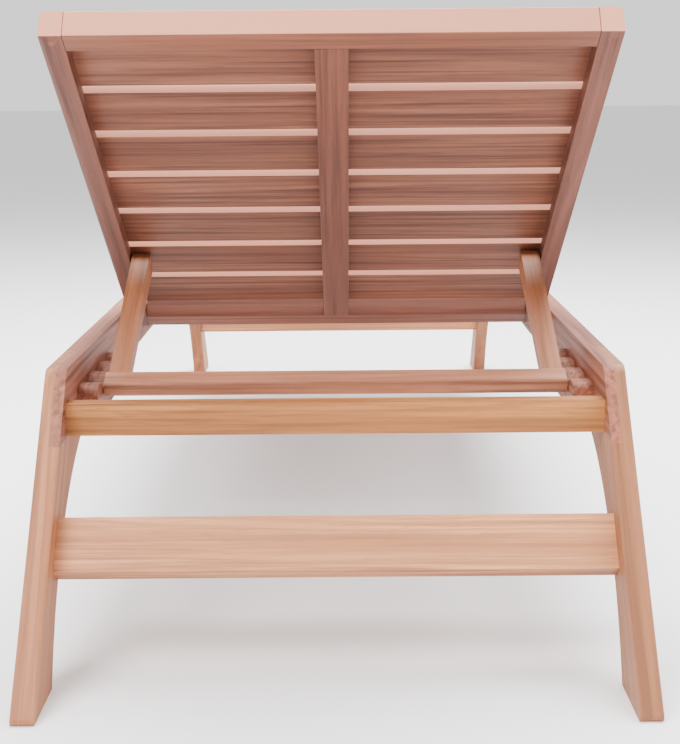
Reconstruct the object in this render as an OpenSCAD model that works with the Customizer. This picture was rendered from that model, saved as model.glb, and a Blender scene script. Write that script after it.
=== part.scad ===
// Reclining sun lounger in solid wood: two splayed side frames, a slatted seat,
// a slatted backrest on a hinge and a prop that drops into toothed racks.
// X is the width, Y the length with the head end at -Y, Z is up, floor at Z = 0.

/* [Overall] */
// Length over the four feet
overall_len = 2000; // [1800:10:2200]
// Width over the side frames
overall_w = 680; // [560:10:760]
// Height of the top of the side rails
rail_top = 328; // [310:2:360]

/* [Side frames] */
// Thickness of the side rails and legs
board_t = 25; // [22:1:32]
// Depth of a side rail at the middle of its length
rail_h = 71; // [66:1:80]
// Extra depth of a side rail over the legs
rail_drop = 7; // [4:1:10]
// Distance that a leg leans out over the rail height
leg_run = 267; // [230:1:300]
// Length of a sole on the floor
sole_len = 103; // [90:1:120]
// Radius of the arch from a sole to the rail
arch_r = 400; // [360:5:440]
// Rounding of the knee
knee_r = 22; // [10:1:30]
// Rounding of the foot corners
foot_r = 5; // [3:1:8]

/* [Crossrails] */
// Height of an apron
apron_h = 38; // [30:1:42]
// Thickness of an apron
apron_t = 25; // [20:1:30]
// Distance from the knee to the outer face of an apron
apron_out = 18; // [8:1:22]
// Width of a leg stretcher
stretcher_w = 66; // [50:1:75]
// Thickness of a leg stretcher
stretcher_t = 22; // [18:1:26]
// Depth that a stretcher sits inside the back of the leg
stretcher_inset = 29; // [22:1:32]
// Height of a stretcher along the leg
stretcher_along = 182; // [160:1:200]

/* [Backrest] */
// Angle of the raised backrest
back_angle = 34; // [33:1:35]
// Length from the hinge line to the head end
back_len = 728; // [690:2:760]
// Distance from the head knee to the hinge
hinge_run = 516; // [510:1:522]
// Gap between the backrest and the side rails
side_gap = 4; // [3.6:0.2:6]
// Width of a stile
stile_w = 25; // [22:1:30]
// Depth of a stile
stile_d = 32; // [30:1:36]
// Rounding of the upper outer edge of a stile
stile_r = 7; // [3:1:9]
// Width of the top rail
top_rail_w = 28; // [24:1:40]
// Width of the bottom rail
bottom_rail_w = 30; // [24:1:40]

/* [Slats] */
// Width of a slat
slat_w = 79; // [70:1:81]
// Thickness of a slat
slat_t = 12; // [10:1:13]
// Rounding of the upper edges of a slat
slat_r = 3; // [1:0.5:4]
// Depth of the rebate that a slat end rests in
rebate = 10; // [8:1:12]
// Number of slats in the backrest
back_slats = 7; // [7:1:7]
// Number of slats in the seat
seat_slats = 10; // [10:1:10]
// Width of a centre rib
rib_w = 37; // [30:1:50]
// Width and height of a seat ledger
ledger = 22; // [18:1:22]

/* [Prop and racks] */
// Distance along the stile from the hinge to the prop pivot
pivot_run = 196; // [190:1:200]
// Height of the prop pivot above the underside of the stile
pivot_up = 9; // [9:0.2:9.4]
// Thickness of a prop arm
arm_t = 25; // [20:1:28]
// Gap between an arm and its stile
arm_gap = 2; // [1.6:0.1:3]
// Width of the crossbar along the arm
bar_w = 26; // [24:1:28]
// Thickness of the crossbar
bar_t = 20; // [19:1:22]
// Rounding of the crossbar
bar_r = 5; // [2:1:6]
// Radius of the round pegs on the crossbar ends
tenon_r = 6.5; // [5.5:0.5:6.5]
// Distance from the head knee to the first notch
notch_run = 105; // [103:1:107]
// Distance between notches
notch_pitch = 72; // [68:1:80]
// Height of the rack teeth
rack_top = 295; // [294:0.5:295]
// Height of the tenon line in a notch
notch_z = 284; // [283:0.5:284]

/* [Hardware] */
// Radius of a hinge bolt
hinge_r = 5; // [4:0.5:5]
// Radius of a prop pivot bolt
pivot_r = 4; // [3:0.5:4]
// Running clearance of a bolt in its hole
run_fit = 0.06; // [0.03:0.01:0.09]
// Radius of a frame dowel
dowel_r = 5; // [3:0.5:5]
// Radius of a screw head
head_r = 4; // [3:0.5:4.5]
// Radius of a screw shank
shank_r = 2; // [1.5:0.5:2.5]

/* [Hidden] */
$fn = 48;
tiny = 1;
half_w = overall_w / 2;
in_w = half_w - board_t;
lap_w = half_w - board_t / 2;
rail_z = rail_top - rail_h;
shoulder_z = rail_z - rail_drop;
lean = atan2(leg_run, rail_top);
foot_half = (90 - lean) / 2;
foot_y = round(100 * (foot_r - overall_len / 2 - foot_r / tan(foot_half))) / 100;
knee_y = foot_y + leg_run;
sole_y = foot_y + sole_len;
arch_step = 0.2;
arch_z = rail_z - arch_step - arch_r;
arch_y = sole_y + sqrt(arch_r * arch_r - arch_z * arch_z);
gusset_y = arch_y - sqrt(arch_r * arch_r - pow(shoulder_z - arch_z, 2));
lap_y = gusset_y - 75;
lap_slope = leg_run / rail_top;
function back_y(z) = foot_y + z * lap_slope;

rack_clear = 1;
hinge_y = knee_y + hinge_run;
hinge_z = rack_top + rack_clear + stile_d / 2;
back_w = in_w - side_gap;
stile_in = back_w - stile_w;
slat_top = stile_d;
slat_low = stile_d - slat_t;
slat_from = top_rail_w;
slat_to = back_len - bottom_rail_w;
back_gap = (slat_to - slat_from - back_slats * slat_w) / (back_slats + 1);
back_pitch = slat_w + back_gap;
slat_half = stile_in + rebate;
pin_in = 12;
pin_r = 3.5;
pin_len = 26;
peg_t = 12;
peg_len = 18;

arm_out = stile_in - arm_gap;
arm_in = arm_out - arm_t;
arm_back = 10;
arm_deep = 22;
piv_y = hinge_y - pivot_run * cos(back_angle) + (pivot_up - stile_d / 2) * sin(back_angle);
piv_z = hinge_z + pivot_run * sin(back_angle) + (pivot_up - stile_d / 2) * cos(back_angle);
notch_y = knee_y + notch_run;
bar_lift = 4;
arm_dy = piv_y - notch_y;
arm_dz = piv_z - notch_z - bar_lift;
arm_len = norm([arm_dy, arm_dz]);
arm_slope = atan2(arm_dz, arm_dy);
bar_end = arm_len - bar_w / 2;
bar_half = in_w - board_t - 2;
tenon_half = in_w - 4;
peg_in = 10;
peg_r = 4.5;
joint_dowel = 18;

rack_in = in_w - board_t;
rack_from = notch_run - 47;
notches = 3;
notch_fit = 1;
notch_r = tenon_r + notch_fit;
notch_flat = 5;
head_lean = 32;
foot_lean = 50;
tooth_r = 5;
rack_to = notch_run + (notches - 1) * notch_pitch + 55;

seat_from = hinge_run + stile_d / 2 + 12;
seat_to = overall_len - 2 * (leg_run + foot_y + overall_len / 2) - knee_r - 6;
seat_gap = (seat_to - seat_from - seat_slats * slat_w) / (seat_slats - 1);
seat_pitch = slat_w + seat_gap;
seat_half = in_w - 1.5;
ledger_top = rail_top - slat_t;
screw_len = 24;
sink = 2.2;
bolt_head_r = 9;
bolt_head_t = 5;
washer_t = 1.5;
cup_d = 8;
insert_len = 20;
insert_r = 7;
piv_head_r = 6.5;
piv_head_t = 4;
nut_t = 5;
nut_r = 6.2;
pocket_r = 6.6;
plug_t = 3;
pocket_d = nut_t + plug_t + 1;
nut_from = -arm_in - pocket_d + 0.3;
wood = [0.72, 0.50, 0.38];
pale = [0.78, 0.58, 0.44];
dark = [0.62, 0.40, 0.30];
steel = [0.72, 0.73, 0.75];
brass = [0.78, 0.62, 0.32];

// Mirrors a left-hand shape to side s, where -1 is left and 1 is right
module on_side(s) {
    if (s < 0) children();
    else mirror([1, 0, 0]) children();
}

// Mirrors a head-end shape to end e, where -1 is the head and 1 the foot
module at_end(e) {
    if (e < 0) children();
    else mirror([0, 1, 0]) children();
}

// Extrudes a side profile, drawn as (Y, Z), from x0 to x1
module across(x0, x1) {
    rotate([90, 0, 90])
        translate([0, 0, x0])
            linear_extrude(x1 - x0) children();
}

// A cylinder along X from x0 to x1 at (y, z)
module rod(x0, x1, y, z, r) {
    translate([x0, y, z])
        rotate([0, 90, 0]) cylinder(r = r, h = x1 - x0);
}

// What a rounding takes off a corner v between the directions a and b
module corner_waste(v, a, b, r) {
    half = abs(b - a) / 2;
    t = r / tan(half);
    mid = (a + b) / 2;
    d = r / sin(half);
    pa = v + t * [cos(a), sin(a)];
    pb = v + t * [cos(b), sin(b)];
    difference() {
        polygon([v - 0.01 * [cos(mid), sin(mid)], pa, pb]);
        translate(v + d * [cos(mid), sin(mid)]) circle(r = r + 0.01);
    }
}

// Backrest frame: u runs from the head end to the hinge, w is up through it
module in_backrest() {
    translate([0, hinge_y, hinge_z])
        rotate([-back_angle, 0, 0])
            translate([0, -back_len, -stile_d / 2]) children();
}

// Prop frame: the origin is the pivot, -Y runs down the arm, +Z is its upper face
module in_prop() {
    translate([0, piv_y, piv_z])
        rotate([arm_slope, 0, 0]) children();
}

// The whole side profile of a head-end leg, without its lap
module leg_profile() {
    difference() {
        polygon([
            [foot_y, 0], [arch_y, 0],
            [gusset_y, shoulder_z], [back_y(shoulder_z), shoulder_z]
        ]);
        translate([arch_y, arch_z]) circle(r = arch_r, $fn = 180);
        corner_waste([foot_y, 0], 0, 90 - lean, foot_r);
    }
}

// The part of the leg that laps over the outer half of the rail
module lap_profile() {
    difference() {
        polygon([
            [back_y(shoulder_z), shoulder_z], [lap_y, shoulder_z],
            [lap_y + (rail_top - shoulder_z) * lap_slope, rail_top], [knee_y, rail_top]
        ]);
        corner_waste([knee_y, rail_top], 0, -90 - lean, knee_r);
    }
}

// Half of the rail profile, from the head knee to the middle of the length
module half_rail() {
    difference() {
        polygon([
            [back_y(shoulder_z), shoulder_z], [arch_y, shoulder_z], [arch_y, rail_z],
            [0, rail_z], [0, rail_top], [knee_y, rail_top]
        ]);
        translate([arch_y, arch_z]) circle(r = arch_r, $fn = 180);
        corner_waste([knee_y, rail_top], 0, -90 - lean, knee_r);
    }
}

module side_rail(s) {
    color(wood) on_side(s) difference() {
        union() {
            for (e = [-1, 1]) at_end(e) across(-half_w, -in_w) half_rail();
        }
        for (e = [-1, 1]) at_end(e) {
            across(-half_w - tiny, -lap_w) lap_cut();
            for (p = knee_points) rod(-lap_w - tiny, -lap_w + 9, p[0], p[1], dowel_r);
            for (p = apron_points) rod(-in_w - 10, -in_w + tiny, p[0], p[1], dowel_r);
        }
        rod(-half_w - tiny, -half_w + cup_d, hinge_y, hinge_z, bolt_head_r + 1);
        rod(-half_w, -in_w + tiny, hinge_y, hinge_z, hinge_r + run_fit);
        for (y = rack_screw_y) rod(-in_w - 12, -in_w + tiny, y, rack_screw_z, shank_r);
        for (y = ledger_screw_y) rod(-in_w - 12, -in_w + tiny, y, ledger_top - ledger / 2, shank_r);
    }
}

// The outer half that the rail gives up to the leg
module lap_cut() {
    polygon([
        [foot_y, shoulder_z - tiny], [lap_y - tiny * lap_slope, shoulder_z - tiny],
        [lap_y + (rail_top + tiny - shoulder_z) * lap_slope, rail_top + tiny], [foot_y, rail_top + tiny]
    ]);
}

knee_points = [[back_y(289) + 34, 289], [back_y(289) + 80, 289]];
apron_points = [[knee_y - apron_out + apron_t / 2, rail_top - 38 - 12], [knee_y - apron_out + apron_t / 2, rail_top - 38 - 28]];
rack_screw_z = (rail_z + rack_top) / 2 - 8;
rack_screw_y = [for (k = [0:notches]) knee_y + notch_run + (k - 0.55) * notch_pitch + (k == 0 ? 18 : 0)];
ledger_screw_y = [for (k = [0:3]) knee_y + seat_from + 60 + k * (seat_to - seat_from - 120) / 3];

module leg(s, e) {
    color(wood) on_side(s) at_end(e) difference() {
        union() {
            across(-half_w, -in_w) leg_profile();
            across(-half_w, -lap_w) lap_profile();
        }
        for (p = knee_points) rod(-lap_w - 9, -lap_w + tiny, p[0], p[1], dowel_r);
        in_leg() for (a = stretcher_points)
            rod(-in_w - 15, -in_w + tiny, stretcher_inset + stretcher_t / 2, a, dowel_r);
    }
}

// Leg frame: +Z runs up the back of the leg from the foot, +Y is depth into it
module in_leg() {
    translate([0, foot_y, 0]) rotate([-lean, 0, 0]) children();
}

stretcher_points = [stretcher_along + 18, stretcher_along + stretcher_w - 18];

module apron(e) {
    color(pale) at_end(e) difference() {
        translate([-in_w, knee_y - apron_out, rail_top - 38 - apron_h])
            cube([2 * in_w, apron_t, apron_h]);
        for (s = [-1, 1]) on_side(s) for (p = apron_points)
            rod(-in_w - tiny, -in_w + joint_dowel, p[0], p[1], dowel_r);
    }
}

module stretcher(e) {
    color(pale) at_end(e) in_leg() difference() {
        translate([-in_w, stretcher_inset, stretcher_along])
            cube([2 * in_w, stretcher_t, stretcher_w]);
        for (s = [-1, 1]) on_side(s) for (a = stretcher_points)
            rod(-in_w - tiny, -in_w + joint_dowel, stretcher_inset + stretcher_t / 2, a, dowel_r);
    }
}

// One notch, open upwards, with its tenon line at the origin
module notch() {
    up = rack_top - notch_z;
    hx = -notch_r * cos(head_lean);
    hz = -notch_r * sin(head_lean);
    fx = notch_flat + notch_r * cos(foot_lean);
    fz = -notch_r * sin(foot_lean);
    circle(r = notch_r);
    translate([notch_flat, 0]) circle(r = notch_r);
    translate([0, -notch_r]) square([notch_flat, 2 * notch_r]);
    polygon([
        [0, 0], [hx, hz], [hx - (up + tiny - hz) * tan(head_lean), up + tiny],
        [fx + (up + tiny - fz) * tan(foot_lean), up + tiny], [fx, fz], [notch_flat, 0]
    ]);
    corner_waste([hx - (up - hz) * tan(head_lean), up], -90 + head_lean, -180, tooth_r);
    corner_waste([fx + (up - fz) * tan(foot_lean), up], -90 - foot_lean, 0, tooth_r);
}

module rack(s) {
    color(dark) on_side(s) difference() {
        across(-in_w, -rack_in) difference() {
            translate([knee_y + rack_from, rail_z]) square([rack_to - rack_from, rack_top - rail_z]);
            for (k = [0:notches - 1]) translate([notch_y + k * notch_pitch, notch_z]) notch();
            corner_waste([knee_y + rack_from, rack_top], 0, -90, tooth_r * 2);
            corner_waste([knee_y + rack_to, rack_top], -90, -180, tooth_r * 2);
        }
        for (y = rack_screw_y) {
            rod(-in_w - tiny, -rack_in + tiny, y, rack_screw_z, shank_r);
            rod(-rack_in - sink, -rack_in + tiny, y, rack_screw_z, head_r);
        }
    }
}

module ledger_strip(s) {
    color(wood) on_side(s) difference() {
        translate([-in_w, knee_y + seat_from, ledger_top - ledger])
            cube([ledger, seat_to - seat_from, ledger]);
        for (y = ledger_screw_y) {
            rod(-in_w - tiny, -in_w + ledger + tiny, y, ledger_top - ledger / 2, shank_r);
            rod(-in_w + ledger - sink, -in_w + ledger + tiny, y, ledger_top - ledger / 2, head_r);
        }
        for (k = [1:seat_slats])
            translate([-in_w + ledger / 2, seat_slat_y(k) + slat_w / 2, ledger_top - screw_len + slat_t])
                cylinder(r = shank_r, h = screw_len);
    }
}

function seat_slat_y(k) = knee_y + seat_from + (k - 1) * seat_pitch;

// A crossrail between the ledgers at the start or the end of the seat
module seat_crossrail(y) {
    color(wood) translate([-in_w + ledger, y, ledger_top - ledger])
        cube([2 * (in_w - ledger), ledger, ledger]);
}

module seat_rib() {
    color(wood) translate([-rib_w / 2, knee_y + seat_from + ledger, ledger_top - ledger + 2])
        cube([rib_w, seat_to - seat_from - 2 * ledger, ledger - 2]);
}

// A slat of half length h along X, from y = 0 to slat_w, upper edges rounded
module slat(h) {
    across(-h, h) difference() {
        square([slat_w, slat_t]);
        corner_waste([0, slat_t], 0, -90, slat_r);
        corner_waste([slat_w, slat_t], -90, -180, slat_r);
    }
}

module seat_slat(k) {
    color(pale) difference() {
        translate([0, seat_slat_y(k), ledger_top]) slat(seat_half);
        for (s = [-1, 1]) translate([s * (in_w - ledger / 2), seat_slat_y(k) + slat_w / 2, 0])
            screw_hole(rail_top);
    }
}

// A screw hole with a flat sunk head, its mouth at height z
module screw_hole(z) {
    translate([0, 0, z - slat_t - tiny]) cylinder(r = shank_r, h = slat_t + 2 * tiny);
    translate([0, 0, z - sink]) cylinder(r = head_r, h = sink + tiny);
}

// A screw that points down from height z
module screw(z) {
    translate([0, 0, z - screw_len]) cylinder(r = shank_r, h = screw_len);
    translate([0, 0, z - sink]) cylinder(r = head_r, h = sink);
}

module knee_dowels() {
    color(pale) for (s = [-1, 1], e = [-1, 1]) on_side(s) at_end(e)
        for (p = knee_points) rod(-lap_w - 9, -lap_w + 9, p[0], p[1], dowel_r);
}

module apron_dowels() {
    color(pale) for (s = [-1, 1], e = [-1, 1]) on_side(s) at_end(e)
        for (p = apron_points) rod(-in_w - 10, -in_w + joint_dowel, p[0], p[1], dowel_r);
}

module stretcher_dowels() {
    color(pale) for (s = [-1, 1], e = [-1, 1]) on_side(s) at_end(e)
        in_leg() for (a = stretcher_points)
            rod(-in_w - 15, -in_w + joint_dowel, stretcher_inset + stretcher_t / 2, a, dowel_r);
}

module seat_screws() {
    color(steel) for (k = [1:seat_slats], s = [-1, 1])
        translate([s * (in_w - ledger / 2), seat_slat_y(k) + slat_w / 2, 0]) screw(rail_top);
}

module ledger_screws() {
    color(steel) for (s = [-1, 1]) on_side(s) for (y = ledger_screw_y) {
        rod(-in_w - 12, -in_w + ledger, y, ledger_top - ledger / 2, shank_r);
        rod(-in_w + ledger - sink, -in_w + ledger, y, ledger_top - ledger / 2, head_r);
    }
}

module rack_screws() {
    color(steel) for (s = [-1, 1]) on_side(s) for (y = rack_screw_y) {
        rod(-in_w - 12, -rack_in, y, rack_screw_z, shank_r);
        rod(-rack_in - sink, -rack_in, y, rack_screw_z, head_r);
    }
}

// A flat ring along X
module ring(x0, x1, y, z, r, bore) {
    difference() {
        rod(x0, x1, y, z, r);
        rod(x0 - tiny, x1 + tiny, y, z, bore);
    }
}

module hinge_washers() {
    color(steel) for (s = [-1, 1]) on_side(s)
        ring(-half_w + cup_d - washer_t, -half_w + cup_d, hinge_y, hinge_z, bolt_head_r, hinge_r + run_fit);
}

module stile(s) {
    color(wood) on_side(s) difference() {
        in_backrest() difference() {
            union() {
                translate([-back_w, 0, 0]) rotate([-90, 0, 0]) mirror([0, 1, 0])
                    linear_extrude(back_len) difference() {
                        square([stile_w, stile_d]);
                        corner_waste([0, stile_d], 0, -90, stile_r);
                    }
                rod(-back_w, -stile_in, back_len, stile_d / 2, stile_d / 2);
            }
            translate([-stile_in - rebate, slat_from, slat_low])
                cube([rebate + tiny, slat_to - slat_from, slat_t + tiny]);
            rail_peg(0, top_rail_w);
            rail_peg(back_len - bottom_rail_w, bottom_rail_w);
            for (u = pin_u) translate([-back_w + pin_in, u, -tiny]) cylinder(r = pin_r, h = pin_len + tiny);
            for (k = [1:back_slats])
                translate([-stile_in - rebate / 2, slat_u(k) + slat_w / 2, stile_d - screw_len])
                    cylinder(r = shank_r, h = screw_len);
        }
        rod(-back_w - tiny, -back_w + insert_len, hinge_y, hinge_z, insert_r);
        rod(-back_w - tiny, -stile_in + tiny, piv_y, piv_z, pivot_r + run_fit);
        rod(-back_w - tiny, -back_w + piv_head_t + 1, piv_y, piv_z, piv_head_r + 0.5);
    }
}

function slat_u(k) = slat_from + back_gap + (k - 1) * back_pitch;
pin_u = [top_rail_w / 2, back_len - bottom_rail_w / 2 - 4];

// The tenon of a backrest rail, which starts at u and is w wide
module rail_peg(u, w) {
    translate([-stile_in - peg_len, u + 5, (stile_d - peg_t) / 2])
        cube([peg_len + tiny, w - 12, peg_t]);
}

module back_rail(u, w, pin) {
    color(wood) in_backrest() difference() {
        union() {
            translate([-stile_in, u, 0]) cube([2 * stile_in, w, stile_d]);
            for (s = [-1, 1]) on_side(s) rail_peg(u, w);
        }
        for (s = [-1, 1]) on_side(s)
            translate([-back_w + pin_in, pin, -tiny]) cylinder(r = pin_r, h = pin_len + tiny);
    }
}

module back_rib() {
    color(wood) in_backrest() translate([-rib_w / 2, slat_from, 0])
        cube([rib_w, slat_to - slat_from, slat_low]);
}

module back_slat(k) {
    color(pale) in_backrest() difference() {
        translate([0, slat_u(k), slat_low]) slat(slat_half);
        for (s = [-1, 1]) translate([s * (stile_in + rebate / 2), slat_u(k) + slat_w / 2, 0])
            screw_hole(stile_d);
    }
}

module corner_pins() {
    color(dark) in_backrest() for (s = [-1, 1]) on_side(s) for (u = pin_u)
        translate([-back_w + pin_in, u, 0]) cylinder(r = pin_r, h = pin_len);
}

module back_screws() {
    color(steel) in_backrest() for (k = [1:back_slats], s = [-1, 1])
        translate([s * (stile_in + rebate / 2), slat_u(k) + slat_w / 2, 0]) screw(stile_d);
}

module hinge_inserts() {
    color(brass) for (s = [-1, 1]) on_side(s)
        ring(-back_w, -back_w + insert_len, hinge_y, hinge_z, insert_r, hinge_r);
}

module hinge_bolts() {
    head_from = -half_w + cup_d - washer_t - 0.3 - bolt_head_t;
    color(steel) for (s = [-1, 1]) on_side(s) {
        rod(head_from, head_from + bolt_head_t, hinge_y, hinge_z, bolt_head_r - 0.5);
        rod(head_from, -back_w + insert_len, hinge_y, hinge_z, hinge_r);
    }
}

module hinge_spacers() {
    color(steel) for (s = [-1, 1]) on_side(s)
        ring(-in_w + 0.4, -back_w, hinge_y, hinge_z, insert_r + 2, hinge_r);
}

module pivot_bolts() {
    color(steel) for (s = [-1, 1]) on_side(s) {
        rod(-back_w + 0.5, -back_w + 0.5 + piv_head_t, piv_y, piv_z, piv_head_r);
        rod(-back_w + 0.5, nut_from + nut_t, piv_y, piv_z, pivot_r);
    }
}

module pivot_washers() {
    color(steel) for (s = [-1, 1]) on_side(s)
        ring(-stile_in + 0.3, -arm_out - 0.3, piv_y, piv_z, piv_head_r, pivot_r);
}

module pivot_nuts() {
    color(steel) for (s = [-1, 1]) on_side(s)
        ring(nut_from, nut_from + nut_t, piv_y, piv_z, nut_r, pivot_r);
}

module pivot_plugs() {
    color(wood) for (s = [-1, 1]) on_side(s)
        rod(-arm_in - plug_t, -arm_in, piv_y, piv_z, pocket_r);
}

module prop_arm(s) {
    color(wood) on_side(s) in_prop() difference() {
        union() {
            across(-arm_out, -arm_in) polygon([
                [0, arm_back - 0.1], [-bar_end, bar_t / 2], [-bar_end, -bar_t / 2],
                [-arm_deep * 0.6, -arm_deep], [2, -arm_deep],
                [arm_back * 0.98 * cos(20), -arm_back * 0.98 * sin(20)], [0, 0]
            ]);
            rod(-arm_out, -arm_in, 0, 0, arm_back);
        }
        rod(-arm_out - tiny, -arm_in + tiny, 0, 0, pivot_r + run_fit);
        rod(-arm_in - pocket_d, -arm_in + tiny, 0, 0, pocket_r);
        prop_dowel();
    }
}

// The dowel that ties a left arm to the crossbar
module prop_dowel() {
    translate([-(arm_in + arm_out) / 2, -bar_end + joint_dowel + 8, 0])
        rotate([90, 0, 0]) cylinder(r = dowel_r - 1, h = 2 * joint_dowel);
}

module prop_crossbar() {
    color(wood) difference() {
        in_prop() across(-bar_half, bar_half) difference() {
            translate([-arm_len - bar_w / 2, -bar_t / 2]) square([bar_w, bar_t]);
            for (c = bar_corners)
                corner_waste([-arm_len + c[0] * bar_w / 2, c[1] * bar_t / 2], c[2], c[3], bar_r);
        }
        for (s = [-1, 1]) on_side(s) {
            in_prop() prop_dowel();
            rod(-bar_half - tiny, -bar_half + peg_in, notch_y, notch_z, peg_r);
        }
    }
}

module prop_pegs() {
    color(wood) for (s = [-1, 1]) on_side(s) {
        rod(-tenon_half, -bar_half, notch_y, notch_z, tenon_r);
        rod(-bar_half - tiny, -bar_half + peg_in, notch_y, notch_z, peg_r);
    }
}

// The two corners on the far side of the crossbar, as signs and edge directions
bar_corners = [[-1, 1, 0, -90], [-1, -1, 0, 90], [1, -1, 90, 180]];

module prop_dowels() {
    color(pale) for (s = [-1, 1]) on_side(s) in_prop() prop_dowel();
}

side_rail(-1);  // side_rail_left
side_rail(1);  // side_rail_right
leg(-1, -1);  // leg_head_left
leg(1, -1);  // leg_head_right
leg(-1, 1);  // leg_foot_left
leg(1, 1);  // leg_foot_right
apron(-1);  // apron_head
apron(1);  // apron_foot
stretcher(-1);  // stretcher_head
stretcher(1);  // stretcher_foot
rack(-1);  // rack_left
rack(1);  // rack_right
ledger_strip(-1);  // ledger_left
ledger_strip(1);  // ledger_right
seat_crossrail(knee_y + seat_from);  // seat_crossrail_hinge
seat_crossrail(knee_y + seat_to - ledger);  // seat_crossrail_foot
seat_rib();
for (k = [1:seat_slats]) seat_slat(k);
knee_dowels();
apron_dowels();
stretcher_dowels();
seat_screws();
ledger_screws();
rack_screws();
hinge_washers();
stile(-1);  // stile_left
stile(1);  // stile_right
back_rail(0, top_rail_w, pin_u[0]);  // back_top_rail
back_rail(slat_to, bottom_rail_w, pin_u[1]);  // back_bottom_rail
back_rib();
for (k = [1:back_slats]) back_slat(k);
corner_pins();
back_screws();
hinge_inserts();
hinge_bolts();
hinge_spacers();
pivot_bolts();
pivot_washers();
pivot_nuts();
prop_arm(-1);  // prop_arm_left
prop_arm(1);  // prop_arm_right
prop_crossbar();
prop_dowels();
prop_pegs();
pivot_plugs();
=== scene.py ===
import math
import bpy
import numpy as np
from mathutils import Matrix, Vector


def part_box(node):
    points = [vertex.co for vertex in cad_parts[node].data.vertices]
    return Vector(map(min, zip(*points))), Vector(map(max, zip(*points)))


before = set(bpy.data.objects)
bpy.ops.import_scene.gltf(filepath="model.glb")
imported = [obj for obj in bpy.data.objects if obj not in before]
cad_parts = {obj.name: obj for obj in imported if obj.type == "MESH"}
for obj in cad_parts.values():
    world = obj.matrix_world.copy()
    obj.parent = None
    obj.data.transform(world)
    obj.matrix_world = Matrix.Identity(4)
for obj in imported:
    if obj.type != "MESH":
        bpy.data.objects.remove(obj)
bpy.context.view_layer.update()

# Sun lounger in sanded teak: the boards come from the frame, this file gives them
# their softened edges, grain, hardware finish, the camera, the light and the floor.


def newMaterial(name):
    mat = bpy.data.materials.new(name)
    mat.use_nodes = True
    mat.node_tree.nodes.clear()
    return mat, mat.node_tree


def addNode(tree, kind, **values):
    node = tree.nodes.new(kind)
    for key, value in values.items():
        setattr(node, key, value)
    return node


def join(tree, source, target):
    tree.links.new(source, target)


# a plain number sets the socket, anything else is linked to it
def feed(tree, socket, value):
    if isinstance(value, (int, float)):
        socket.default_value = value
    elif isinstance(value, tuple):
        socket.default_value = (*value, 1.0)
    else:
        join(tree, value, socket)


def mathNode(tree, operation, a, b=None):
    node = addNode(tree, "ShaderNodeMath", operation=operation)
    feed(tree, node.inputs[0], a)
    if b is not None:
        feed(tree, node.inputs[1], b)
    return node.outputs[0]


def mixColour(tree, amount, a, b):
    node = addNode(tree, "ShaderNodeMix", data_type="RGBA", blend_type="MIX")
    for slot, value in ((0, amount), (6, a), (7, b)):
        feed(tree, node.inputs[slot], value)
    return node.outputs[2]


def noiseNode(tree, vector, scale, detail, rough=0.5, distort=0.0):
    node = addNode(tree, "ShaderNodeTexNoise")
    node.inputs["Scale"].default_value = scale
    node.inputs["Detail"].default_value = detail
    node.inputs["Roughness"].default_value = rough
    node.inputs["Distortion"].default_value = distort
    join(tree, vector, node.inputs["Vector"])
    return node.outputs["Fac"]


# noise drawn out by the three numbers in stretch: a small one makes long marks that way
def drawnNoise(tree, vector, stretch, **values):
    drawn = addNode(tree, "ShaderNodeMapping", vector_type="POINT")
    drawn.inputs["Scale"].default_value = stretch
    join(tree, vector, drawn.inputs["Vector"])
    return noiseNode(tree, drawn.outputs["Vector"], **values)


def levelNode(tree, value, low, high, outLow, outHigh):
    node = addNode(tree, "ShaderNodeMapRange", clamp=True)
    join(tree, value, node.inputs["Value"])
    for key, number in (("From Min", low), ("From Max", high),
                        ("To Min", outLow), ("To Max", outHigh)):
        node.inputs[key].default_value = number
    return node.outputs["Result"]


# levels are where the value starts to show, where it shows in full, and how strongly
def tintBy(tree, base, value, levels, colour):
    low, high, most = levels
    return mixColour(tree, levelNode(tree, value, low, high, 0.0, most), base, colour)


def finishShader(tree, shader, height, strength, depth):
    bump = addNode(tree, "ShaderNodeBump")
    bump.inputs["Strength"].default_value = strength
    bump.inputs["Distance"].default_value = depth
    join(tree, height, bump.inputs["Height"])
    join(tree, bump.outputs["Normal"], shader.inputs["Normal"])
    closeShader(tree, shader)


def closeShader(tree, shader):
    out = addNode(tree, "ShaderNodeOutputMaterial")
    join(tree, shader.outputs["BSDF"], out.inputs["Surface"])


teak = dict(
    ringsPerMetre=95.0,                  # growth lines across the board
    ringBend=0.0765,                     # metres the lines wander
    ringLean=0.03,                       # most that a line leans per metre of board
    pithY=(0.02, 0.09), pithZ=(0.03, 0.12),      # metres from the board to the log's heart
    logSpread=4.0,                       # metres of log, each way, that the boards are cut from
    firstSeed=700,                       # boards take this seed and the ones after it
    bend=dict(stretch=(0.55, 6.0, 6.0), scale=1.6, detail=3.0, rough=0.5, distort=0.3),
    cloud=dict(stretch=(1.2, 22.0, 22.0), scale=1.3, detail=5.0, rough=0.62, distort=0.2),
    streak=dict(stretch=(3.0, 150.0, 150.0), scale=1.0, detail=4.0, rough=0.6),
    pore=dict(stretch=(900.0 / 26.0, 900.0, 900.0), scale=1.0, detail=2.0, rough=0.55),
    lateSharpness=2.2, lateShare=0.70,   # how narrow and how strong the late wood is
    cloudLevels=(0.36, 0.62, 0.95),
    streakLevels=(0.47, 0.66, 0.88),
    poreLevels=(0.56, 0.72, 0.55),
    convexLevels=(0.515, 0.60, 0.35), convexLift=1.35,   # sharp convex edges are a little paler
    # painted light: a paler tone for the faces that look up the backrest, the sky-lit slat edges
    litEdgeLevels=(0.6, 0.9, 0.85), litEdgeTone=(0.740, 0.300, 0.190),
    lift=(0.90, 1.10), warm=(0.96, 1.05),        # how boards of one batch differ
    roughness=0.44, streakRough=0.22, specular=0.32,
    bumpStrength=0.55, bumpDepth=0.00016, poreDip=-0.8, lateRise=0.35,
)

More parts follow.
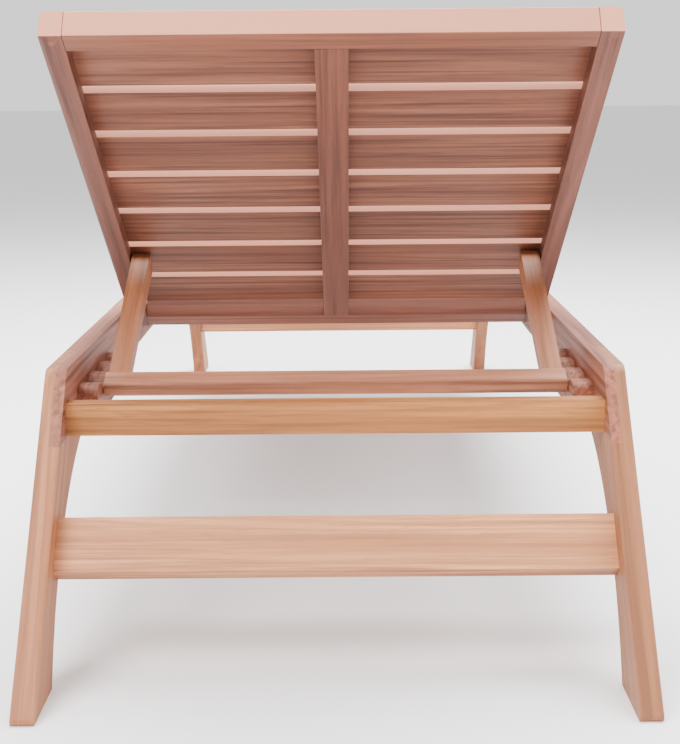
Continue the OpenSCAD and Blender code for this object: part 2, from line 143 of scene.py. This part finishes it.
woodTones = dict(                        # early wood, late wood and streak of each batch; the slat and underside tones also hold painted shade
    frame=((0.370, 0.138, 0.080), (0.205, 0.062, 0.033), (0.080, 0.022, 0.013)),
    leg=((0.410, 0.160, 0.070), (0.190, 0.060, 0.025), (0.075, 0.022, 0.010)),
    pale=((0.700, 0.320, 0.150), (0.320, 0.118, 0.048), (0.120, 0.036, 0.015)),
    honey=((0.540, 0.228, 0.064), (0.255, 0.084, 0.020), (0.100, 0.027, 0.008)),
    # partly painted shade: darker than the frame tone because the backrest slats are seen from
    # below in shadow
    slat=((0.255, 0.089, 0.046), (0.138, 0.040, 0.020), (0.055, 0.015, 0.009)),
    # painted shade: the darkest tone, for boards seen from below in shadow (stiles, bottom rail,
    # rib, pins)
    underShade=((0.185, 0.058, 0.032), (0.105, 0.029, 0.016), (0.045, 0.012, 0.008)),
    bar=((0.400, 0.164, 0.088), (0.215, 0.074, 0.036), (0.090, 0.028, 0.014)),
    arm=((0.365, 0.126, 0.049), (0.205, 0.060, 0.022), (0.085, 0.023, 0.009)),
)


# Growth lines: the distance from the log's heart, sqrt(y^2 + z^2), is bent by a long noise
# and leaned along the board, and a sine of it, raised to a power, is the late wood. Clouds,
# streaks and pores are finer noises drawn out along the grain. litEdgeSide is the direction
# that a board's faces must look to get painted light, a paler tone for its sky-lit edges.
def teakMaterial(name, tone, grainTurn, centre, seed, litEdgeSide=None):
    rng = np.random.default_rng(seed)
    mat, tree = newMaterial(name)
    coords = addNode(tree, "ShaderNodeTexCoord")
    # centred on the board, and turned so that X runs along the grain
    place = addNode(tree, "ShaderNodeMapping", vector_type="TEXTURE")
    place.inputs["Location"].default_value = centre
    place.inputs["Rotation"].default_value = grainTurn
    join(tree, coords.outputs["Object"], place.inputs["Vector"])

    # each board is cut from its own part of the log
    shift = addNode(tree, "ShaderNodeMapping", vector_type="POINT")
    spread = teak["logSpread"]
    shift.inputs["Location"].default_value = tuple(rng.uniform(-spread, spread, 3))
    join(tree, place.outputs["Vector"], shift.inputs["Vector"])
    bend, cloud, streaks, pores = (drawnNoise(tree, shift.outputs["Vector"], **teak[key])
                                   for key in ("bend", "cloud", "streak", "pore"))

    parts = addNode(tree, "ShaderNodeSeparateXYZ")
    join(tree, place.outputs["Vector"], parts.inputs["Vector"])
    pithY = float(rng.uniform(*teak["pithY"]) * rng.choice([-1, 1]))
    pithZ = float(rng.uniform(*teak["pithZ"]) * rng.choice([-1, 1]))
    y = mathNode(tree, "ADD", parts.outputs["Y"], pithY)
    z = mathNode(tree, "ADD", parts.outputs["Z"], pithZ)
    radius = mathNode(tree, "SQRT", mathNode(tree, "ADD", mathNode(tree, "MULTIPLY", y, y),
                                             mathNode(tree, "MULTIPLY", z, z)))
    most = teak["ringLean"]
    lean = mathNode(tree, "MULTIPLY", parts.outputs["X"], float(rng.uniform(-most, most)))
    bent = mathNode(tree, "MULTIPLY", mathNode(tree, "SUBTRACT", bend, 0.5), teak["ringBend"])
    depth = mathNode(tree, "ADD", mathNode(tree, "ADD", radius, bent), lean)
    rings = mathNode(tree, "MULTIPLY", depth, teak["ringsPerMetre"] * math.tau)
    wave = mathNode(tree, "MULTIPLY", mathNode(tree, "SINE", rings), 0.5)
    late = mathNode(tree, "POWER", mathNode(tree, "ADD", wave, 0.5), teak["lateSharpness"])

    lift = float(rng.uniform(*teak["lift"]))
    warm = float(rng.uniform(*teak["warm"]))

    def shade(colour):
        red, green, blue = colour
        return min(1.0, red * lift * warm), green * lift, blue * lift / warm

    early, lateTone, streakTone = woodTones[tone]
    lateAmount = mathNode(tree, "MULTIPLY", late, teak["lateShare"])
    base = mixColour(tree, lateAmount, shade(early), shade(lateTone))
    base = tintBy(tree, base, cloud, teak["cloudLevels"], shade(lateTone))
    base = tintBy(tree, base, streaks, teak["streakLevels"], shade(streakTone))
    base = tintBy(tree, base, pores, teak["poreLevels"], shade(streakTone))
    geometry = addNode(tree, "ShaderNodeNewGeometry")
    convexTone = tuple(min(1.0, part * teak["convexLift"]) for part in early)
    base = tintBy(tree, base, geometry.outputs["Pointiness"], teak["convexLevels"], shade(convexTone))
    # painted light: faces that look up the backrest get a paler tone, standing in for sky light
    # on the slat edges
    if litEdgeSide:
        facing = addNode(tree, "ShaderNodeVectorMath", operation="DOT_PRODUCT")
        join(tree, coords.outputs["Normal"], facing.inputs[0])
        facing.inputs[1].default_value = litEdgeSide
        base = tintBy(tree, base, facing.outputs["Value"], teak["litEdgeLevels"],
                      shade(teak["litEdgeTone"]))

    shader = addNode(tree, "ShaderNodeBsdfPrincipled")
    shader.inputs["Specular IOR Level"].default_value = teak["specular"]
    join(tree, base, shader.inputs["Base Color"])
    byStreaks = mathNode(tree, "MULTIPLY", streaks, teak["streakRough"])
    join(tree, mathNode(tree, "ADD", byStreaks, teak["roughness"]), shader.inputs["Roughness"])
    height = mathNode(tree, "ADD", mathNode(tree, "MULTIPLY", pores, teak["poreDip"]),
                      mathNode(tree, "MULTIPLY", late, teak["lateRise"]))
    finishShader(tree, shader, height, teak["bumpStrength"], teak["bumpDepth"])
    return mat


metals = dict(
    stainless=dict(colour=(0.30, 0.29, 0.28), roughness=0.34, brush=2600.0, spots=120.0),
    brass=dict(colour=(0.72, 0.52, 0.22), roughness=0.26, brush=1800.0, spots=90.0),
)
metalWear = dict(
    drawn=(0.06, 1.0, 1.0),              # brush marks run along X
    brushNoise=dict(detail=2.0, rough=0.6), spotNoise=dict(detail=4.0, rough=0.6),
    dullShade=0.62, dullLevels=(0.35, 0.75, 0.8),
    brushRough=0.20, spotRough=0.12,
    bumpStrength=0.25, bumpDepth=0.00005,
)


# brushing is a noise drawn out along X, and a coarse noise dulls patches of it
def metalMaterial(name, kind):
    values = metals[kind]
    mat, tree = newMaterial(name)
    coords = addNode(tree, "ShaderNodeTexCoord")
    brush = drawnNoise(tree, coords.outputs["Object"], metalWear["drawn"],
                       scale=values["brush"], **metalWear["brushNoise"])
    spots = noiseNode(tree, coords.outputs["Object"], values["spots"], **metalWear["spotNoise"])
    dull = tuple(part * metalWear["dullShade"] for part in values["colour"])
    tint = tintBy(tree, values["colour"], spots, metalWear["dullLevels"], dull)
    shader = addNode(tree, "ShaderNodeBsdfPrincipled")
    shader.inputs["Metallic"].default_value = 1.0
    join(tree, tint, shader.inputs["Base Color"])
    byBrush = mathNode(tree, "MULTIPLY", brush, metalWear["brushRough"])
    bySpots = mathNode(tree, "MULTIPLY", spots, metalWear["spotRough"])
    rough = mathNode(tree, "ADD", mathNode(tree, "ADD", byBrush, values["roughness"]), bySpots)
    join(tree, rough, shader.inputs["Roughness"])
    finishShader(tree, shader, brush, metalWear["bumpStrength"], metalWear["bumpDepth"])
    return mat


# turn that lays the grain along the direction (0, y, z)
def sideTurn(y, z):
    return tuple(Vector((1, 0, 0)).rotation_difference(Vector((0, y, z))).to_euler())


backTilt = math.radians(34.0)            # backrest over the seat
armTilt = math.radians(27.59)            # prop arms below the level
legLean = math.atan2(0.267, 0.328)       # a leg's splay over its height, in metres
alongX = (0.0, 0.0, 0.0)
alongY = (0.0, 0.0, math.pi / 2)
alongBack = sideTurn(-math.cos(backTilt), math.sin(backTilt))
alongHeadLeg = sideTurn(math.sin(legLean), math.cos(legLean))
alongFootLeg = sideTurn(-math.sin(legLean), math.cos(legLean))
alongArm = sideTurn(-math.cos(armTilt), -math.sin(armTilt))
upBackrest = (0.0, -math.cos(backTilt), math.sin(backTilt))

# by the start of the node's name: tone, grain turn, edge rounding in metres
boards = dict(
    side_rail=("frame", alongY, 0.0022),
    leg_head=("leg", alongHeadLeg, 0.0022),
    leg_foot=("leg", alongFootLeg, 0.0022),
    apron=("honey", alongX, 0.0018),
    stretcher=("pale", alongX, 0.0030),
    rack=("frame", alongY, 0.0015),
    ledger=("frame", alongY, 0.0012),
    seat_crossrail=("frame", alongX, 0.0012),
    seat_rib=("frame", alongY, 0.0012),
    # the slat tone holds painted shade for the shaded slat undersides; seat slats and top rail
    # share it
    seat_slat=("slat", alongX, 0.0012),
    # stiles, bottom rail, rib and corner pins take the underside tone, which is painted shade
    stile=("underShade", alongBack, 0.0016),
    back_top_rail=("slat", alongX, 0.0016),
    back_bottom_rail=("underShade", alongX, 0.0016),
    back_rib=("underShade", alongBack, 0.0014),
    back_slat=("slat", alongX, 0.0012),
    prop_arm=("arm", alongArm, 0.0018),
    prop_crossbar=("bar", alongX, 0.0018),
    corner_pins=("underShade", alongBack, 0.0004),
    knee_dowels=("pale", alongX, 0.0004),
    apron_dowels=("pale", alongX, 0.0004),
    stretcher_dowels=("pale", alongX, 0.0004),
    prop_dowels=("pale", alongArm, 0.0004),
    pivot_plugs=("arm", alongX, 0.0003),
    prop_pegs=("bar", alongX, 0.0005),
)
# boards whose faces that look up the backrest get the painted light
litEdgeBoards = ("back_slat", "back_top_rail", "stile")
metalParts = dict(
    hinge_inserts="brass",
    seat_screws="stainless", ledger_screws="stainless",
    rack_screws="stainless", back_screws="stainless",
    hinge_washers="stainless", hinge_bolts="stainless", hinge_spacers="stainless",
    pivot_bolts="stainless", pivot_washers="stainless", pivot_nuts="stainless",
)
edges = dict(
    weldGap=0.000005,                    # metres within which loose triangles are joined
    sharpest=32.0,                       # degrees past which an edge is rounded
    woodSegments=2,
    metalWidth=0.0003, metalSegments=1,
)


def softenEdges(obj, width, segments):
    weld = obj.modifiers.new("weld", "WELD")
    weld.merge_threshold = edges["weldGap"]
    bevel = obj.modifiers.new("soften", "BEVEL")
    bevel.width = width
    bevel.segments = segments
    bevel.limit_method = "ANGLE"
    bevel.angle_limit = math.radians(edges["sharpest"])
    bevel.harden_normals = True
    bevel.use_clamp_overlap = True


def dressBoards():
    longestFirst = sorted(boards, key=len, reverse=True)
    for number, node in enumerate(sorted(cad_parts)):
        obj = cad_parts[node]
        low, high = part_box(node)
        centre = tuple(float(a + b) / 2 for a, b in zip(low, high))
        start = next((key for key in longestFirst if node.startswith(key)), None)
        if start:
            tone, turn, width = boards[start]
            litEdgeSide = upBackrest if node.startswith(litEdgeBoards) else None
            seed = teak["firstSeed"] + number
            mat = teakMaterial("teak_" + node, tone, turn, centre, seed, litEdgeSide)
            softenEdges(obj, width, edges["woodSegments"])
        else:
            mat = metalMaterial("metal_" + node, metalParts[node])
            softenEdges(obj, edges["metalWidth"], edges["metalSegments"])
        obj.data.materials.clear()
        obj.data.materials.append(mat)
    print("boards dressed:", len(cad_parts))


dressBoards()

view = dict(
    focal=1430.0, frameWidth=680.0,      # focal length in the same unit as the frame's width
    sensorWidth=36.0,
    nearest=0.05,                        # clip start in metres
    headKnee=-0.73852,                   # Y of the head knee that the camera is set out from
    place=(0.0100, -1.6486, 0.6441),
    pitch=11.04, yaw=0.14, roll=-0.49,
)


# columns of the camera's turn are right, up and back, from yaw, pitch and roll
def makeCamera():
    yaw, pitch, roll = (math.radians(view[key]) for key in ("yaw", "pitch", "roll"))
    ahead = Vector((-math.sin(yaw) * math.cos(pitch),
                    math.cos(yaw) * math.cos(pitch), -math.sin(pitch)))
    level = Vector((math.cos(yaw), math.sin(yaw), 0.0))
    over = level.cross(ahead)
    right = math.cos(roll) * level + math.sin(roll) * over
    up = -math.sin(roll) * level + math.cos(roll) * over
    data = bpy.data.cameras.new("viewCamera")
    data.sensor_fit = "HORIZONTAL"
    data.sensor_width = view["sensorWidth"]
    data.lens = view["focal"] * view["sensorWidth"] / view["frameWidth"]
    data.clip_start = view["nearest"]
    cam = bpy.data.objects.new("viewCamera", data)
    bpy.context.scene.collection.objects.link(cam)
    turn = Matrix((right, up, -ahead)).transposed().to_4x4()
    x, y, z = view["place"]
    cam.matrix_world = Matrix.Translation((x, y + view["headKnee"], z)) @ turn
    bpy.context.scene.camera = cam
    print("camera set")


makeCamera()

floorPaper = dict(
    size=120.0,                          # metres
    colour=(0.97, 0.97, 0.97),
    speckShade=0.985, speckScale=3.0, speckDetail=3.0,
    roughness=0.9, specular=0.1,
)


# one flat square at Z = 0, far larger than the lounger, with a barely visible fleck
def makeFloor():
    half = floorPaper["size"] / 2
    points = np.array([[-half, -half, 0], [half, -half, 0], [half, half, 0], [-half, half, 0]])
    mesh = bpy.data.meshes.new("floor")
    mesh.from_pydata(points.tolist(), [], [(0, 1, 2, 3)])
    floor = bpy.data.objects.new("floor", mesh)
    bpy.context.scene.collection.objects.link(floor)
    mat, tree = newMaterial("floorPaper")
    coords = addNode(tree, "ShaderNodeTexCoord")
    speck = noiseNode(tree, coords.outputs["Object"],
                      floorPaper["speckScale"], floorPaper["speckDetail"])
    fleck = tuple(part * floorPaper["speckShade"] for part in floorPaper["colour"])
    shader = addNode(tree, "ShaderNodeBsdfPrincipled")
    shader.inputs["Roughness"].default_value = floorPaper["roughness"]
    shader.inputs["Specular IOR Level"].default_value = floorPaper["specular"]
    join(tree, mixColour(tree, speck, floorPaper["colour"], fleck), shader.inputs["Base Color"])
    closeShader(tree, shader)
    mesh.materials.append(mat)
    print("floor laid")


lamps = dict(
    key=dict(power=170.0, place=(-1.6, -2.6, 2.7), size=2.2),
    top=dict(power=430.0, place=(0.3, 0.6, 3.2), size=3.0),
    fill=dict(power=28.0, place=(2.4, -1.8, 1.1), size=2.0),
)
lampTarget = (0.0, -0.3, 0.35)           # point that every lamp is aimed at


def makeLamp(name, power, place, size):
    data = bpy.data.lights.new(name, "AREA")
    data.energy = power
    data.shape = "DISK"
    data.size = size
    lamp = bpy.data.objects.new(name, data)
    bpy.context.scene.collection.objects.link(lamp)
    lamp.location = place
    lamp.rotation_euler = (Vector(lampTarget) - Vector(place)).to_track_quat("-Z", "Y").to_euler()


sky = dict(
    colour=(1.0, 1.0, 1.0),
    strength=1.0, wallStrength=1.3,
    riseFrom=0.35, riseTo=1.0,           # Y of the view direction between which it rises
)


# plain pale sky whose strength rises smoothly towards the far wall at +Y
def makeSky():
    world = bpy.data.worlds.new("studioSky")
    world.use_nodes = True
    tree = world.node_tree
    back = tree.nodes["Background"]
    back.inputs["Color"].default_value = (*sky["colour"], 1.0)
    coords = addNode(tree, "ShaderNodeTexCoord")
    parts = addNode(tree, "ShaderNodeSeparateXYZ")
    join(tree, coords.outputs["Generated"], parts.inputs["Vector"])
    rise = levelNode(tree, parts.outputs["Y"], sky["riseFrom"], sky["riseTo"],
                     sky["strength"], sky["wallStrength"])
    join(tree, rise, back.inputs["Strength"])
    bpy.context.scene.world = world
    print("sky set")


makeFloor()
for lampName, lampValues in lamps.items():
    makeLamp(lampName, **lampValues)
print("lamps hung:", len(lamps))
makeSky()
